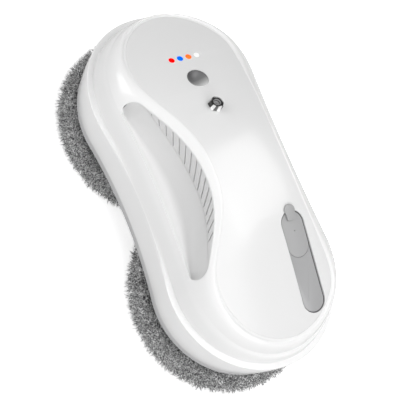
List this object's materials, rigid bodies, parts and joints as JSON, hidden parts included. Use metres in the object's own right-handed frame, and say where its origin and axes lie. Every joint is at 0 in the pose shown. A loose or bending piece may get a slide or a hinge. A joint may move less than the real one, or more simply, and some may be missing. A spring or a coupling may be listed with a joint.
{
  "type": "window cleaning robot",
  "caption": "Window cleaning robot: oval white casing with a louvred hand grip, a sloping control face and tank window, carried on two round furry mop wheels driven by gears, with suction fan.",
  "frame": {"origin": "on the glass under the middle of the part, halfway between the two wheels", "axes": "+Z away from the glass, +Y along the length towards the start button, +X towards the plain side, away from the hand grip"},
  "size_m": [0.1392, 0.2788, 0.1092],
  "materials": {
    "casing_white": "gloss",
    "cover_white": "gloss",
    "grip_lining": "matte",
    "base_grey": "satin",
    "steel": "brushed",
    "button_metal": "satin",
    "lens_red": "gloss",
    "lens_blue": "gloss",
    "lens_orange": "gloss",
    "lens_white": "gloss",
    "board_green": "satin",
    "black_plastic": "satin",
    "nut_chrome": "polished",
    "tank_plastic": "gloss",
    "window_clear": "gloss",
    "plug_silicone": "matte",
    "hose_rubber": "satin",
    "nozzle_white": "gloss",
    "microfibre": "deep pile",
    "wheel_plastic": "satin",
    "gear_nylon": "satin",
    "dark_plastic": "satin",
    "battery_wrap": "gloss"
  },
  "bodies": {
    "chassis": {"top_shell": "casing_white", "top_cover": "cover_white", "grip_insert": "grip_lining", "base_shell": "base_grey", "base_screws": "steel", "indicator_red": "lens_red", "indicator_blue": "lens_blue", "indicator_orange": "lens_orange", "indicator_white": "lens_white", "main_board": "board_green", "lead_socket": "black_plastic", "socket_nut": "nut_chrome", "water_tank": "tank_plastic", "tank_window": "window_clear", "spray_pump": "black_plastic", "tank_hose": "hose_rubber", "nozzle_hose": "hose_rubber", "spray_nozzle": "nozzle_white", "hub_bearing_front": "steel", "hub_bearing_rear": "steel", "gear_motor_front": "steel", "gear_motor_rear": "steel", "motor_bracket_front": "dark_plastic", "motor_bracket_rear": "dark_plastic", "air_duct": "dark_plastic", "fan_housing": "wheel_plastic", "fan_motor": "steel", "battery_pack": "battery_wrap", "switch_frame": "dark_plastic"},
    "wheel_front": {"wheel_disc_front": "wheel_plastic", "mop_pad_front": "microfibre", "wheel_gear_front": "gear_nylon"},
    "wheel_rear": {"wheel_disc_rear": "wheel_plastic", "mop_pad_rear": "microfibre", "wheel_gear_rear": "gear_nylon"},
    "pinion_front": {"drive_pinion_front": "gear_nylon"},
    "pinion_rear": {"drive_pinion_rear": "gear_nylon"},
    "fan": {"fan_impeller": "gear_nylon"},
    "button": {"start_button": "button_metal"},
    "plug": {"filler_plug": "plug_silicone"},
    "switch": {"power_switch": "black_plastic"}
  },
  "joints": [
    {"name": "wheel_front_spin", "type": "hinge", "parent": "chassis", "child": "wheel_front", "pos_m": [0, 0.06985, 0], "axis": [0, 0, 1], "continuous": true},
    {"name": "wheel_rear_spin", "type": "hinge", "parent": "chassis", "child": "wheel_rear", "pos_m": [0, -0.06985, 0], "axis": [0, 0, 1], "continuous": true},
    {"name": "pinion_front_spin", "type": "hinge", "parent": "chassis", "child": "pinion_front", "pos_m": [0.03386, 0.03478, 0], "axis": [0, 0, 1], "continuous": true},
    {"name": "pinion_rear_spin", "type": "hinge", "parent": "chassis", "child": "pinion_rear", "pos_m": [0.03386, -0.03478, 0], "axis": [0, 0, 1], "continuous": true},
    {"name": "fan_spin", "type": "hinge", "parent": "chassis", "child": "fan", "pos_m": [0, 0, 0.05], "axis": [0, 0, 1], "continuous": true},
    {"name": "button_press", "type": "slide", "parent": "chassis", "child": "button", "axis": [0, -0.2805, -0.9599], "range_m": [0, 0.0008], "stiffness_N_per_m": 1000, "springref_m": -0.0004},
    {"name": "plug_hinge", "type": "hinge", "parent": "chassis", "child": "plug", "pos_m": [0.0208, -0.07433, 0.0953], "axis": [1, 0, 0], "range_deg": [0, 110]},
    {"name": "switch_rock", "type": "hinge", "parent": "chassis", "child": "switch", "pos_m": [0.0431, 0, 0.0255], "axis": [1, 0, 0], "range_deg": [0, 20]}
  ],
  "couplings": [
    {"joint": "pinion_front_spin", "follows": "wheel_front_spin", "ratio": -3.3333},
    {"joint": "pinion_rear_spin", "follows": "wheel_rear_spin", "ratio": -3.3333}
  ]
}
